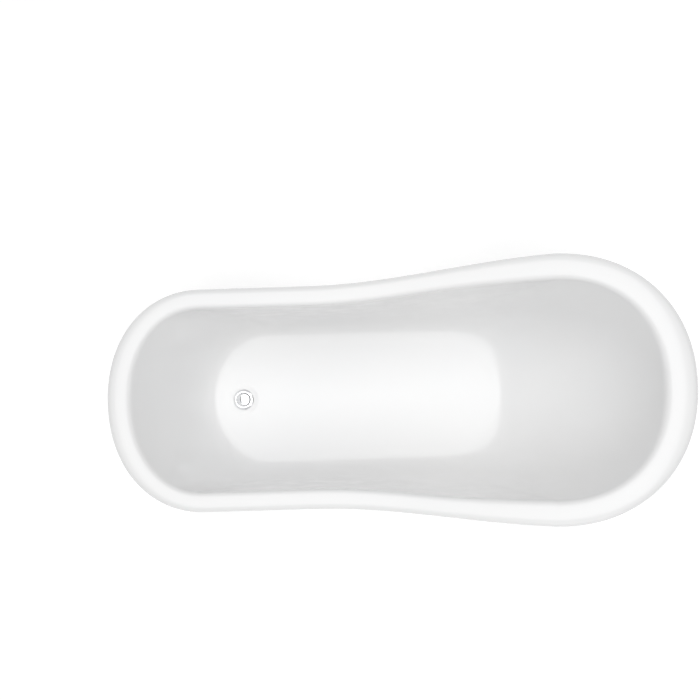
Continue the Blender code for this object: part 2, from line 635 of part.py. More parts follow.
# --- Waste fitting --------------------------------------------------------------------------------
def make_drain():
    """The flanged barrel through the floor, its seals and nut, and the tailpiece below it."""
    spot = (DRAIN_X, 0.0)
    dish = FLOOR_TOP - DISH_DEPTH
    seal_low = dish + GAP
    seal_high = seal_low + SEAL_THICKNESS
    ring("drain_seal", BARREL + GAP, FLANGE_OUTER - FLANGE_ROUNDING, seal_low, seal_high, RUBBER, spot)

    under = seal_high + GAP
    rim = under + FLANGE_HEIGHT
    barrel = [
        (THROAT + CHAMFER, rim), (FLANGE_OUTER - FLANGE_ROUNDING, under + FLANGE_SHOULDER),
        (FLANGE_OUTER, under + FLANGE_EDGE),
        (FLANGE_OUTER, under), (BARREL, under), (BARREL, BARREL_BOTTOM), (BORE, BARREL_BOTTOM),
        (BORE, dish), (THROAT, dish), (THROAT, rim - CHAMFER),
    ]
    flange = turned("drain_flange", barrel, CHROME, closed=True, centre=spot)
    cross_top = CROSS_BOTTOM + CROSS_HEIGHT
    span = BORE + BARREL        # each bar ends inside the barrel's wall
    for number, size in enumerate(((span, CROSS_WIDTH), (CROSS_WIDTH, span))):
        centre = (DRAIN_X, 0.0, (CROSS_BOTTOM + cross_top) / 2)
        boolean(flange, block("cross_bar_form_" + str(number), (*size, CROSS_HEIGHT), centre), "UNION")
    boolean(flange, prism("cross_hub_form", HUB_RADIUS, CROSS_BOTTOM, cross_top, spot, sides=16), "UNION")
    thread = CARTRIDGE_RADIUS + GAP
    boolean(flange, prism("cross_bore_cutter", thread, CROSS_BOTTOM - REACH, cross_top + REACH, spot, sides=16))

    below = FLOOR_TOP - BASIN_THICKNESS - GAP
    ring("drain_gasket", BARREL + GAP, GASKET_RADIUS, below - GASKET_THICKNESS, below, RUBBER, spot)
    nut_top = below - GASKET_THICKNESS - GAP
    nut = add_object(
        "drain_locknut",
        hexagon_nut_mesh("drain_locknut", DRAIN_NUT_RADIUS, BARREL + 2 * GAP, DRAIN_NUT_HEIGHT),
        BRASS,
    )
    nut.location = (DRAIN_X, 0.0, nut_top - DRAIN_NUT_HEIGHT)

    washer_top = BARREL_BOTTOM - GAP
    washer_low = washer_top - SLIP_WASHER_THICKNESS
    ring("slip_washer", BORE, BARREL - GAP, washer_low, washer_top, RUBBER, spot)
    collar_top = washer_low - GAP
    collar_low = collar_top - COLLAR_THICKNESS
    tail = [
        (BARREL - GAP, collar_top), (BARREL - GAP, collar_low), (TAIL_RADIUS, collar_low),
        (TAIL_RADIUS, TAIL_BOTTOM), (TAIL_BORE, TAIL_BOTTOM), (TAIL_BORE, collar_top),
    ]
    turned("tailpiece", tail, CHROME, closed=True, centre=spot)
    coupling = prism("slip_nut", SLIP_NUT_RADIUS, SLIP_NUT_BOTTOM, SLIP_NUT_TOP, spot, sides=6, finish=CHROME)
    shoulder = collar_low - GAP
    boolean(coupling, prism("slip_nut_thread_cutter", BARREL + 2 * GAP, shoulder, SLIP_NUT_TOP + REACH, spot))
    low = SLIP_NUT_BOTTOM - REACH
    boolean(coupling, prism("slip_nut_bore_cutter", TAIL_RADIUS + 2 * GAP, low, SLIP_NUT_TOP, spot))


def make_stopper():
    """The pop-up stopper: its cap, seal and plunger rise together on the click cartridge."""
    spot = (DRAIN_X, 0.0)
    seat = FLOOR_TOP - DISH_DEPTH + GAP
    seal_top = seat + STOPPER_SEAL_THICKNESS
    under = seal_top + GAP
    cap = [(radius, under + height) for radius, height in CAP_DOME]
    cap += [(CAP_RADIUS, under), (CAP_HUB_RADIUS, under)]
    cap += [(CAP_HUB_RADIUS, CAP_HUB_BOTTOM), (0.0, CAP_HUB_BOTTOM)]
    turned("stopper_cap", cap, CHROME, centre=spot)
    ring("stopper_seal", CAP_HUB_RADIUS + GAP, STOPPER_SEAL_RADIUS, seat, seal_top, RUBBER, spot)
    plunger_top = CAP_HUB_BOTTOM - GAP
    plunger = [(0.0, plunger_top), (PLUNGER_RADIUS, plunger_top), (PLUNGER_RADIUS, PLUNGER_BOTTOM),
               (0.0, PLUNGER_BOTTOM)]
    turned("stopper_plunger", plunger, BRASS, centre=spot, steps=16)

    collar_low = CROSS_BOTTOM + CROSS_HEIGHT + GAP
    collar_high = collar_low + CARTRIDGE_COLLAR
    cartridge = [
        (CARTRIDGE_BORE, CARTRIDGE_TOP), (CARTRIDGE_RADIUS, CARTRIDGE_TOP), (CARTRIDGE_RADIUS, collar_high),
        (HUB_RADIUS, collar_high), (HUB_RADIUS, collar_low), (CARTRIDGE_RADIUS, collar_low),
        (CARTRIDGE_RADIUS, CARTRIDGE_BOTTOM), (0.0, CARTRIDGE_BOTTOM),
        (0.0, CARTRIDGE_BOTTOM + CARTRIDGE_FLOOR), (CARTRIDGE_BORE, CARTRIDGE_BOTTOM + CARTRIDGE_FLOOR),
    ]
    turned("click_cartridge", cartridge, BRASS, closed=True, centre=spot, steps=16)

    low = CARTRIDGE_TOP + SPRING_WIRE + GAP
    high = CAP_HUB_BOTTOM - SPRING_WIRE - GAP
    count = round(SPRING_TURNS * SPRING_STEPS)
    coil = []
    for step in range(count + 1):
        turn = 2 * pi * SPRING_TURNS * step / count
        height = blend(low, high, step / count)
        coil.append((DRAIN_X + SPRING_RADIUS * cos(turn), SPRING_RADIUS * sin(turn), height))
    wire = tube("spring_form", coil, [SPRING_WIRE] * len(coil), resolution=1)
    add_object("click_spring", wire.data, STEEL)
    bpy.data.objects.remove(wire)


FRAMES = foot_frames()
BOLT_PLACES = {corner: axis - heading * ANCHOR_REACH for corner, (axis, heading) in FRAMES.items()}
make_basin()
make_skin(BOLT_PLACES)
make_boards(BOLT_PLACES)
make_feet()
make_drain()
make_stopper()
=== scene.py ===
"""Looks of the freestanding single-slipper bathtub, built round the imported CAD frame.

The tub's shells are lofted again at full fineness, the claw feet are modelled as castings that
grip a ball, and the waste and the levellers get turned edges and real threads.
"""

import json
from collections import namedtuple
from math import atan2, cos, pi, radians, sin

import bmesh
import bpy
import numpy as np
from mathutils import Matrix, Vector
from mathutils.bvhtree import BVHTree


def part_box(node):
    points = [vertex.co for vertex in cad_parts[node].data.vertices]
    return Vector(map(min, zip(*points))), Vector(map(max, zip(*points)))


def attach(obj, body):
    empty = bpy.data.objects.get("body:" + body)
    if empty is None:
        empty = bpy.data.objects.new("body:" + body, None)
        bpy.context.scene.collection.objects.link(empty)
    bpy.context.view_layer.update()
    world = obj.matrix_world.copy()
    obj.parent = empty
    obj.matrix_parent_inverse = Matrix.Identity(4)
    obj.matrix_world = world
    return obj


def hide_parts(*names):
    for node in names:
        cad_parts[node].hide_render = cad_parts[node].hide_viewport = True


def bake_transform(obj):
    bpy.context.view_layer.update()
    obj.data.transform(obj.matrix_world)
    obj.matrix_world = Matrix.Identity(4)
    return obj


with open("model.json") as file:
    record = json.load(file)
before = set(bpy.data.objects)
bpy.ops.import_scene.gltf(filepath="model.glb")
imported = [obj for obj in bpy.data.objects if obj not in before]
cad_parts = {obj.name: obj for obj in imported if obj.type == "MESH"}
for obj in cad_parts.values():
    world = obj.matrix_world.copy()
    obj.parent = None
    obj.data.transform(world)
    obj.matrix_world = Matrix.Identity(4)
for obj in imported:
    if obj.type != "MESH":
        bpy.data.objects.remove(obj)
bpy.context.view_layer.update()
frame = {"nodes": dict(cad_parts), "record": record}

CORNERS = ("head_left", "head_right", "drain_left", "drain_right")
GAP = 0.0003                    # clearance between pieces that touch, as in the CAD

# --- The tub's form, as the CAD draws it ---------------------------------------------------
Plan = namedtuple("Plan", "drain_end drain_reach drain_half head_end head_reach head_half")
WallShape = namedtuple("WallShape", "corner low_pull high_pull")

BASIN_LOW, BASIN_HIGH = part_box("basin_shell")
FLANGE_LOW, FLANGE_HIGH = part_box("drain_flange")
DRAIN = Vector(((FLANGE_LOW.x + FLANGE_HIGH.x) / 2, 0.0))

BASIN_THICKNESS, SKIN_THICKNESS = 0.007, 0.006
RIM_PLAN = Plan(BASIN_LOW.x, 0.285, 0.3335, BASIN_HIGH.x, 0.395, 0.389)
FLOOR_PLAN = Plan(-0.608, 0.190, 0.178, 0.360, 0.190, 0.178)
BELLY_PLAN = Plan(-0.650, 0.210, 0.205, 0.470, 0.215, 0.205)
OUTLINE_POWER = 2.12
FLARE_START, FLARE_END = -0.25, 0.50
RIM_LOW, RIM_HIGH = 0.600, BASIN_HIGH.z
SWEEP_START, SWEEP_END = -0.15, 0.85
FLOOR_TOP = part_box("base_board")[1].z + BASIN_THICKNESS + GAP
BELLY_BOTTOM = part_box("outer_shell")[0].z
ROLL_WIDTH, ROLL_WIDTH_HEAD = 0.061, 0.076
ROLL_EXTRA_DRAIN, ROLL_EXTRA_HEAD = 0.014, 0.019
CREST_INSET, CREST_INSET_HEAD = 0.031, 0.045
WIDEN_START, WIDEN_END = 0.05, 0.50             # the roll grows to the head's size between these
ROLL_DROP = 0.024
ROLL_DROP_EXTRA_DRAIN, ROLL_DROP_EXTRA_HEAD = 0.012, 0.022
ROLL_OUTER_DROP = 0.028
ROLL_POWER = 2.8                # how square the outer half of the roll is: 2 is an ellipse
WALL_TANGENT, CREST_TANGENT = 0.6, 0.92
LIP_DROP = 0.045
SKIN_TOP_DROP = 0.030
SKIN_INSET = BASIN_THICKNESS + 0.0008
BASIN_SIDE = WallShape(0.093, 0.86, 0.98)
BASIN_HEAD = WallShape(0.300, 0.20, 0.50)
BASIN_DRAIN = WallShape(0.062, 0.85, 0.58)
SKIN_SIDE = WallShape(0.085, 0.78, 0.88)
SKIN_HEAD = WallShape(0.112, 0.70, 0.65)
SKIN_DRAIN = WallShape(0.067, 0.75, 0.75)

# Dish round the drain, and the holes.
DRAIN_HOLE, ACCESS_HOLE, BOLT_HOLE = 0.026, 0.048, 0.0055
DISH_FLAT, DISH_RADIUS, DISH_DEPTH = 0.037, 0.056, 0.0025
DISH_STEPS = 8
SEALANT_RADIUS = 0.0022
REACH = 0.010                   # how far a cutter runs past the faces it cuts

# Fixings and waste.
STEM_BORE, LOCK_NUT_RADIUS, BOLT_RADIUS, THREAD_PITCH = 0.0053, 0.0098, 0.005, 0.0015
BOLT_HEAD_RADIUS, BOLT_HEAD_HEIGHT = 0.0098, 0.0064
THROAT, BORE, BARREL, BARREL_CLEAR = 0.024, 0.0195, 0.0245, 0.0251
HUB_RADIUS, HUB_BORE, HUB_LOW, HUB_HIGH, CROSS_WIDTH = 0.0095, 0.0068, 0.118, 0.124, 0.005
SEAL_THICKNESS = 0.0018
TAIL_RADIUS, TAIL_BORE, COLLAR_THICKNESS = 0.0200, 0.0175, 0.003
SLIP_NUT_RADIUS, SLIP_NUT_BORE = 0.0335, 0.0206
CAP_HUB_RADIUS = 0.008

# Fineness of the lofts.
HEAD_STEPS, SIDE_STEPS, DRAIN_STEPS = 80, 64, 60
WALL_STEPS = 30
ROLL_STEPS = 9
LIP_STEPS = 3
FLOOR_STEPS = 6

# --- Camera ----------------------------------------------------------------------------------
CAMERA_HEIGHT = 3.2
CAMERA_X = 0.032
FOCAL_PIXELS = 877.0
CAMERA_ROLL = radians(1.74)
FRAME_PIXELS = 700.0
CAMERA_SHIFT = (-0.0757, 0.0640)


# --- Shader helpers ---------------------------------------------------------------------------
class Shader:
    """A node material whose nodes are added one call at a time."""

    def __init__(self, name, **surface):
        self.material = bpy.data.materials.new(name)
        self.material.use_nodes = True
        self.tree = self.material.node_tree
        self.surface = self.tree.nodes["Principled BSDF"]
        self.coordinates = self.tree.nodes.new("ShaderNodeTexCoord")
        for socket, value in surface.items():
            self.surface.inputs[socket.replace("_", " ")].default_value = value

    def link(self, source, target):
        self.tree.links.new(source, target)

    def noise(self, scale, detail=3.0, stretch=(1.0, 1.0, 1.0), roughness=0.5):
        """A noise texture in object space; the value it gives."""
        mapping = self.tree.nodes.new("ShaderNodeMapping")
        mapping.inputs["Scale"].default_value = stretch
        texture = self.tree.nodes.new("ShaderNodeTexNoise")
        texture.inputs["Scale"].default_value = scale
        texture.inputs["Detail"].default_value = detail
        texture.inputs["Roughness"].default_value = roughness
        self.link(self.coordinates.outputs["Object"], mapping.inputs["Vector"])
        self.link(mapping.outputs["Vector"], texture.inputs["Vector"])
        return texture.outputs["Fac"]

    def bands(self, scale, direction, distortion=0.0, detail=2.0, detail_scale=1.0):
        """Sine bands across a direction in object space."""
        texture = self.tree.nodes.new("ShaderNodeTexWave")
        texture.bands_direction = direction
        texture.inputs["Scale"].default_value = scale
        texture.inputs["Distortion"].default_value = distortion
        texture.inputs["Detail"].default_value = detail
        texture.inputs["Detail Scale"].default_value = detail_scale
        self.link(self.coordinates.outputs["Object"], texture.inputs["Vector"])
        return texture.outputs["Fac"]

    def hollows(self):
        """How far a place is sunk into the surface: 0 in grooves, 1 on edges."""
        return self.tree.nodes.new("ShaderNodeNewGeometry").outputs["Pointiness"]

    def spread(self, value, low, high, start=0.0, end=1.0):
        """The value moved from start..end to low..high."""
        remap = self.tree.nodes.new("ShaderNodeMapRange")
        remap.inputs["From Min"].default_value = start
        remap.inputs["From Max"].default_value = end
        remap.inputs["To Min"].default_value = low
        remap.inputs["To Max"].default_value = high
        self.link(value, remap.inputs["Value"])
        return remap.outputs["Result"]

    def tones(self, value, stops):
        """A colour ramp: (place, colour) stops."""
        ramp = self.tree.nodes.new("ShaderNodeValToRGB")
        elements = ramp.color_ramp.elements
        while len(elements) < len(stops):
            elements.new(0.5)
        for element, (place, colour) in zip(elements, stops):
            element.position = place
            element.color = (*colour, 1.0)
        self.link(value, ramp.inputs["Fac"])
        return ramp.outputs["Color"]

    def mixed(self, share, first, second, mode="MIX"):
        """Two colours mixed by a value or a fixed share."""
        mix = self.tree.nodes.new("ShaderNodeMix")
        mix.data_type = "RGBA"
        mix.blend_type = mode
        if isinstance(share, float):
            mix.inputs["Factor"].default_value = share
        else:
            self.link(share, mix.inputs["Factor"])
        for socket, colour in ((mix.inputs[6], first), (mix.inputs[7], second)):
            if isinstance(colour, tuple):
                socket.default_value = (*colour, 1.0)
            else:
                self.link(colour, socket)
        return mix.outputs[2]

    def bump(self, value, depth, strength=1.0):
        """Add a bump of a real depth in metres on top of any earlier bump."""
        bump = self.tree.nodes.new("ShaderNodeBump")
        bump.inputs["Strength"].default_value = strength
        bump.inputs["Distance"].default_value = depth
        self.link(value, bump.inputs["Height"])
        normal = self.surface.inputs["Normal"]
        if normal.is_linked:
            self.link(normal.links[0].from_socket, bump.inputs["Normal"])
        self.link(bump.outputs["Normal"], normal)

    def set(self, socket, output):
        self.link(output, self.surface.inputs[socket])


def make_acrylic(name, roughness):
    """Polished white sanitary acrylic: faint orange peel, faint wipe marks, a warm-cool drift."""
    shader = Shader(name, IOR=1.49, Coat_Weight=0.12, Coat_Roughness=0.08)
    drift = shader.noise(1.6, 2.0)
    white = shader.tones(drift, ((0.3, (0.890, 0.892, 0.895)), (0.7, (0.905, 0.904, 0.900))))
    shader.set("Base Color", white)
    wipes = shader.noise(14.0, 5.0, (1.0, 4.0, 1.0), 0.6)
    shader.set("Roughness", shader.spread(wipes, roughness - 0.04, roughness + 0.05, 0.3, 0.7))
    shader.bump(shader.noise(190.0, 1.0), 0.000020)
    shader.bump(shader.noise(7.0, 1.0), 0.00005)
    return shader.material


def make_chrome(name, cast_with_painted_shade):
    """Polished chrome plate: soft waviness, finger haze, and, on the castings, painted shade that darkens
    the hollows.
    """
    shader = Shader(name, Metallic=1.0)
    haze = shader.noise(22.0, 5.0, roughness=0.65)
    clean = shader.tones(haze, ((0.35, (0.80, 0.81, 0.83)), (0.65, (0.86, 0.865, 0.87))))
    if cast_with_painted_shade:
        # painted shade: the base colour is darkened to a dark grey in the hollows, where shade falls, to
        # show the cast relief
        depth = shader.spread(shader.hollows(), 0.0, 1.0, 0.44, 0.50)
        clean = shader.mixed(depth, (0.30, 0.30, 0.31), clean)
    shader.set("Base Color", clean)
    shader.set("Roughness", shader.spread(haze, 0.045, 0.13, 0.3, 0.75))
    shader.bump(shader.noise(60.0 if cast_with_painted_shade else 25.0, 2.0), 0.00012 if cast_with_painted_shade else 0.00003)
    return shader.material


def make_zinc():
    """Zinc-plated steel: matt grey with a faint straw and blue passivation."""
    shader = Shader("zinc_plated_steel", Metallic=1.0)
    cloud = shader.noise(70.0, 4.0)
    shader.set("Base Color", shader.tones(cloud, (
        (0.30, (0.56, 0.58, 0.63)), (0.50, (0.66, 0.66, 0.66)), (0.70, (0.70, 0.67, 0.58)),
    )))
    shader.set("Roughness", shader.spread(cloud, 0.28, 0.48, 0.3, 0.7))
    shader.bump(shader.noise(900.0, 2.0), 0.00002)
    return shader.material


def make_brass():
    """Turned brass: fine tool rings round the axis and a little tarnish."""
    shader = Shader("turned_brass", Metallic=1.0)
    tarnish = shader.noise(90.0, 4.0)
    shader.set("Base Color", shader.tones(tarnish, ((0.3, (0.62, 0.45, 0.20)), (0.7, (0.80, 0.62, 0.32)))))
    shader.set("Roughness", shader.spread(tarnish, 0.20, 0.38, 0.3, 0.7))
    shader.bump(shader.bands(900.0, "Z"), 0.00002)
    return shader.material


def make_rubber():
    """Moulded black rubber: fine grain and a dusty bloom."""
    shader = Shader("moulded_rubber", Specular_IOR_Level=0.35)
    bloom = shader.noise(120.0, 5.0)
    black = shader.tones(bloom, ((0.35, (0.018, 0.018, 0.019)), (0.75, (0.050, 0.049, 0.047))))
    shader.set("Base Color", black)
    shader.set("Roughness", shader.spread(bloom, 0.55, 0.85, 0.3, 0.7))
    shader.bump(shader.noise(1400.0, 2.0), 0.00004)
    return shader.material


def make_plywood():
    """Birch plywood: long grain on the faces and dark glue lines between the plies."""
    shader = Shader("birch_plywood")
    grain = shader.noise(30.0, 6.0, (1.0, 14.0, 14.0), 0.6)
    wood = shader.tones(grain, (
        (0.30, (0.46, 0.30, 0.16)), (0.50, (0.62, 0.44, 0.26)), (0.72, (0.74, 0.56, 0.36)),
    ))
    plies = shader.spread(shader.bands(100.0, "Z"), 0.0, 0.55, 0.86, 1.0)
    shader.set("Base Color", shader.mixed(plies, wood, (0.20, 0.12, 0.06)))
    shader.set("Roughness", shader.spread(grain, 0.60, 0.80, 0.3, 0.7))
    shader.bump(grain, 0.0003, 0.6)
    return shader.material


def make_silicone():
    """The satin white sealant in the seam behind the lip."""
    shader = Shader("white_sealant")
    wander = shader.noise(80.0, 3.0)
    shader.set("Base Color", shader.tones(wander, ((0.3, (0.78, 0.78, 0.77)), (0.7, (0.86, 0.86, 0.85)))))
    shader.set("Roughness", shader.spread(wander, 0.35, 0.50, 0.3, 0.7))
    shader.bump(wander, 0.0004, 0.8)
    return shader.material


def make_floor_finish():
    """A pale studio floor, lit a little from within so that it reads as white paper."""
    shader = Shader("studio_floor", Roughness=0.85, Specular_IOR_Level=0.15, Emission_Strength=0.27)
    shader.surface.inputs["Emission Color"].default_value = (1.0, 1.0, 1.0, 1.0)
    speck = shader.noise(6.0, 4.0)
    pale = shader.tones(speck, ((0.2, (0.945, 0.945, 0.945)), (0.8, (0.965, 0.965, 0.965))))
    shader.set("Base Color", pale)
    return shader.material


BATHING_ACRYLIC = make_acrylic("bathing_acrylic", 0.20)
SKIN_ACRYLIC = make_acrylic("skin_acrylic", 0.18)
PLAIN_CHROME = make_chrome("plated_chrome", cast_with_painted_shade=False)
CAST_CHROME = make_chrome("cast_chrome", cast_with_painted_shade=True)
ZINC = make_zinc()
BRASS = make_brass()
RUBBER = make_rubber()
PLYWOOD = make_plywood()
SEALANT = make_silicone()


# --- Mesh helpers -------------------------------------------------------------------------------
def add_object(name, mesh, finish=None):
    """Link a mesh to the scene with its material."""
    made = bpy.data.objects.new(name, mesh)
    bpy.context.scene.collection.objects.link(made)
    if finish is not None:
        mesh.materials.clear()
        mesh.materials.append(finish)
    return made


def mesh_from(name, edit):
    """Turn an edited bmesh into a mesh."""
    mesh = bpy.data.meshes.new(name)
    edit.to_mesh(mesh)
    edit.free()
    return mesh


def settle(target):
    """Run an object's modifiers into its own mesh."""
    bpy.context.view_layer.update()
    graph = bpy.context.evaluated_depsgraph_get()
    mesh = bpy.data.meshes.new_from_object(target.evaluated_get(graph))
    target.modifiers.clear()
    target.data = mesh
    return target


def boolean(target, cutter, operation="DIFFERENCE"):
    """Cut or join once, then drop the cutter."""
    step = target.modifiers.new(operation.title(), "BOOLEAN")
    step.operation = operation
    step.solver = "MANIFOLD"
    step.object = cutter
    settle(target)
    bpy.data.objects.remove(cutter)


def smooth(target, angle=0.6):
    """Shade a piece smooth, with its sharp edges kept."""
    target.data.shade_smooth()
    target.data.set_sharp_from_angle(angle=angle)


def bevel(target, width, segments=2, angle=0.9):
    """Round the edges sharper than an angle."""
    step = target.modifiers.new("Bevel", "BEVEL")
    step.width = width
    step.segments = segments
    step.limit_method = "ANGLE"
    step.angle_limit = angle
    step.harden_normals = False


def piece(target, body, slot, *nodes):
    """Make an object ride on a body and stand for CAD nodes; the slot argument is not used."""
    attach(target, body)
    if nodes:
        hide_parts(*nodes)
    return target


def centre_of(node):
    """The middle of a CAD node, in plan."""
    low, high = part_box(node)
    return Vector(((low.x + high.x) / 2, (low.y + high.y) / 2))


def turned(name, profile, centre, finish, steps=96):
    """A closed (radius, height) profile spun about a vertical axis."""
    edit = bmesh.new()
    points = [edit.verts.new((radius, 0.0, height)) for radius, height in profile]
    for first, second in zip(points, points[1:] + points[:1]):
        edit.edges.new((first, second))
    made = add_object(name, mesh_from(name, edit), finish)
    spin = made.modifiers.new("Screw", "SCREW")
    spin.steps = steps
    spin.render_steps = steps
    spin.use_merge_vertices = True
    spin.merge_threshold = 0.00001
    settle(made)
    edit = bmesh.new()
    edit.from_mesh(made.data)
    bmesh.ops.dissolve_degenerate(edit, dist=0.000001, edges=edit.edges)
    bmesh.ops.recalc_face_normals(edit, faces=edit.faces)
    bmesh.ops.translate(edit, vec=(centre.x, centre.y, 0.0), verts=edit.verts)
    edit.to_mesh(made.data)
    edit.free()
    smooth(made)
    return made


def rounded(corners, radius, steps=3):
    """A closed outline of (radius, height) corners with every corner rounded by a small arc."""
    outline = []
    for place, corner in enumerate(corners):
        here = Vector(corner)
        before = Vector(corners[place - 1]) - here
        after = Vector(corners[(place + 1) % len(corners)]) - here
        if abs(here.x) < 0.000001:
            outline.append(tuple(here))
            continue
        reach = min(radius, before.length * 0.45, after.length * 0.45)
        start, end = here + before.normalized() * reach, here + after.normalized() * reach
        for step in range(steps + 1):
            share = step / steps
            outline.append(tuple(start.lerp(here, share).lerp(here.lerp(end, share), share)))
    return outline


def prism(name, radius, low, high, centre, sides):
    """An upright polygonal bar."""
    edit = bmesh.new()
    place = Matrix.Translation((centre.x, centre.y, (low + high) / 2))
    bmesh.ops.create_cone(edit, cap_ends=True, segments=sides, radius1=radius, radius2=radius,
                          depth=high - low, matrix=place)
    return add_object(name, mesh_from(name, edit))


def hexagon(name, centre, low, high, radius, turn, finish, bore=None):
    """A hexagonal nut or bolt head with its corners chamfered as on a lathe, and a bore."""
    blank = prism(name, radius, low, high, Vector((0.0, 0.0)), 6)
    chamfer = radius * 0.14
    cone = [(0.0, high), (radius - chamfer, high), (radius * 1.002, high - chamfer * 0.58),
            (radius * 1.002, low + chamfer * 0.58), (radius - chamfer, low), (0.0, low)]
    boolean(blank, turned(name + "_chamfer", cone, Vector((0.0, 0.0)), finish, 72), "INTERSECT")
    if bore is not None:
        boolean(blank, prism(name + "_bore", bore, low - 0.01, high + 0.01, Vector((0.0, 0.0)), 48))
    blank.data.transform(Matrix.Translation((*centre, 0.0)) @ Matrix.Rotation(turn, 4, "Z"))
    blank.data.materials.clear()
    blank.data.materials.append(finish)
    smooth(blank, 0.35)
    return blank


# --- Surfaces of the tub --------------------------------------------------------------------------
def blend(low, high, share):
    """The value a share of the way from low to high."""
    return low + (high - low) * share


def ease(value, start, end):
    """0 before start, 1 after end, and an S-curve between them."""
    share = min(max((value - start) / (end - start), 0.0), 1.0)
    return share * share * (3.0 - 2.0 * share)


def bulge(value):
    """A sine or cosine drawn out to the superellipse of the rounded ends."""
    size = abs(value) ** (2.0 / OUTLINE_POWER)
    return size if value > 0 else -size


def plan_ring(plan):
    """Points round a plan outline, anticlockwise from the right side of the head."""
    head_centre = plan.head_end - plan.head_reach
    drain_centre = plan.drain_end + plan.drain_reach
    points = []
    for step in range(HEAD_STEPS):
        turn = pi * step / HEAD_STEPS - pi / 2
        x = head_centre + plan.head_reach * bulge(cos(turn))
        points.append(Vector((x, plan.head_half * bulge(sin(turn)))))
    left = []
    for step in range(SIDE_STEPS):
        x = blend(head_centre, drain_centre, step / SIDE_STEPS)
        left.append(Vector((x, blend(plan.drain_half, plan.head_half, ease(x, FLARE_START, FLARE_END)))))
    points += left
    for step in range(DRAIN_STEPS):
        turn = pi * step / DRAIN_STEPS + pi / 2
        x = drain_centre + plan.drain_reach * bulge(cos(turn))
        points.append(Vector((x, plan.drain_half * bulge(sin(turn)))))
    right = [Vector((drain_centre, -plan.drain_half))]
    right += [Vector((point.x, -point.y)) for point in reversed(left[1:])]
    return points + right


def outward(points):
    """The outward direction, in plan, at each point of a ring."""
    directions = []
    for place in range(len(points)):
        along = points[(place + 1) % len(points)] - points[place - 1]
        directions.append(Vector((along.y, -along.x)).normalized())
    return directions


def crest_height(x):
    """Height of the rim's crest along the tub."""
    return blend(RIM_LOW, RIM_HIGH, ease(x, SWEEP_START, SWEEP_END))


def mixed_shape(side, head, drain, facing):
    """A wall's shape from the way it faces in plan."""
    head_share = max(facing.x, 0.0) ** 2
    drain_share = min(facing.x, 0.0) ** 2
    return WallShape(*(
        a + (b - a) * head_share + (c - a) * drain_share for a, b, c in zip(side, head, drain)
    ))


def curve_point(start, first, second, end, share):
    """A point on a cubic curve."""
    rest = 1.0 - share
    return (
        start * rest ** 3
        + first * 3.0 * rest * rest * share
        + second * 3.0 * rest * share * share
        + end * share ** 3
    )


def wall_curve(low, high, facing, shape):
    """Points up a wall: flat at the foot, a corner, a leaning wall."""
    corner = low + Vector((*facing, 0.0)) * shape.corner
    first = low.lerp(corner, shape.low_pull)
    second = high.lerp(corner, shape.high_pull)
    points = [curve_point(low, first, second, high, step / WALL_STEPS) for step in range(WALL_STEPS + 1)]
    return points, (high - corner).normalized()


def floor_column(floor_point, turn):
    """From the drain hole's edge across the flat floor to the floor's outline, fine in the dish."""
    radii = [blend(DRAIN_HOLE, DISH_FLAT, share) for share in (0.0, 0.5, 1.0)]
    radii += [blend(DISH_FLAT, DISH_RADIUS, step / DISH_STEPS) for step in range(1, DISH_STEPS + 1)]
    column = []
    for radius in radii:
        place = DRAIN + Vector((cos(turn), sin(turn))) * radius
        column.append(Vector((place.x, place.y, FLOOR_TOP)))
    edge = column[-1].copy()
    high = Vector((*floor_point, FLOOR_TOP))
    column += [edge.lerp(high, step / FLOOR_STEPS) for step in range(1, FLOOR_STEPS)]
    return column


def rim_place(rim_point, facing, inset, below):
    """A point of the rolled rim: inwards from its outer edge and down from its crest."""
    place = rim_point - facing * inset
    return Vector((place.x, place.y, crest_height(rim_point.x) - below))


def basin_column(floor_point, rim_point, facing):
    """One line up the bathing surface, from the floor over the rolled rim to the lip's edge."""
    head_side = ease(rim_point.x, WIDEN_START, WIDEN_END)
    head_tip = max(facing.x, 0.0) ** 2
    drain_tip = min(facing.x, 0.0) ** 2
    width = blend(ROLL_WIDTH, ROLL_WIDTH_HEAD, head_side)
    width += ROLL_EXTRA_HEAD * head_tip + ROLL_EXTRA_DRAIN * drain_tip
    drop = ROLL_DROP + ROLL_DROP_EXTRA_HEAD * head_tip + ROLL_DROP_EXTRA_DRAIN * drain_tip
    crest_inset = blend(CREST_INSET, CREST_INSET_HEAD, head_side)

    wall_top = rim_place(rim_point, facing, width, drop)
    shape = mixed_shape(BASIN_SIDE, BASIN_HEAD, BASIN_DRAIN, facing)
    column, rising = wall_curve(Vector((*floor_point, FLOOR_TOP)), wall_top, facing, shape)
    top = rim_place(rim_point, facing, crest_inset, 0.0)
    level = Vector((*facing, 0.0)) * (width - crest_inset) * CREST_TANGENT
    for step in range(1, ROLL_STEPS + 1):
        share = step / ROLL_STEPS
        first = wall_top + rising * drop * WALL_TANGENT
        column.append(curve_point(wall_top, first, top - level, top, share))
    for step in range(1, ROLL_STEPS + 1):
        turn = pi / 2 * step / ROLL_STEPS
        inset = crest_inset * (1.0 - sin(turn) ** (2.0 / ROLL_POWER))
        below = ROLL_OUTER_DROP * (1.0 - cos(turn) ** (2.0 / ROLL_POWER))
        column.append(rim_place(rim_point, facing, inset, below))
    for step in range(1, LIP_STEPS + 1):
        below = blend(ROLL_OUTER_DROP, LIP_DROP, step / LIP_STEPS)
        column.append(rim_place(rim_point, facing, 0.0, below))
    return column


def skin_column(belly_point, rim_point, facing, clearance):
    """One line up the outer skin, from its flat underside to its edge behind the lip."""
    place = rim_point - facing * (SKIN_INSET - clearance)
    high = Vector((place.x, place.y, crest_height(rim_point.x) - SKIN_TOP_DROP))
    low = Vector((*(belly_point + facing * clearance), BELLY_BOTTOM - clearance))
    shape = mixed_shape(SKIN_SIDE, SKIN_HEAD, SKIN_DRAIN, facing)
    return wall_curve(low, high, facing, shape)[0]


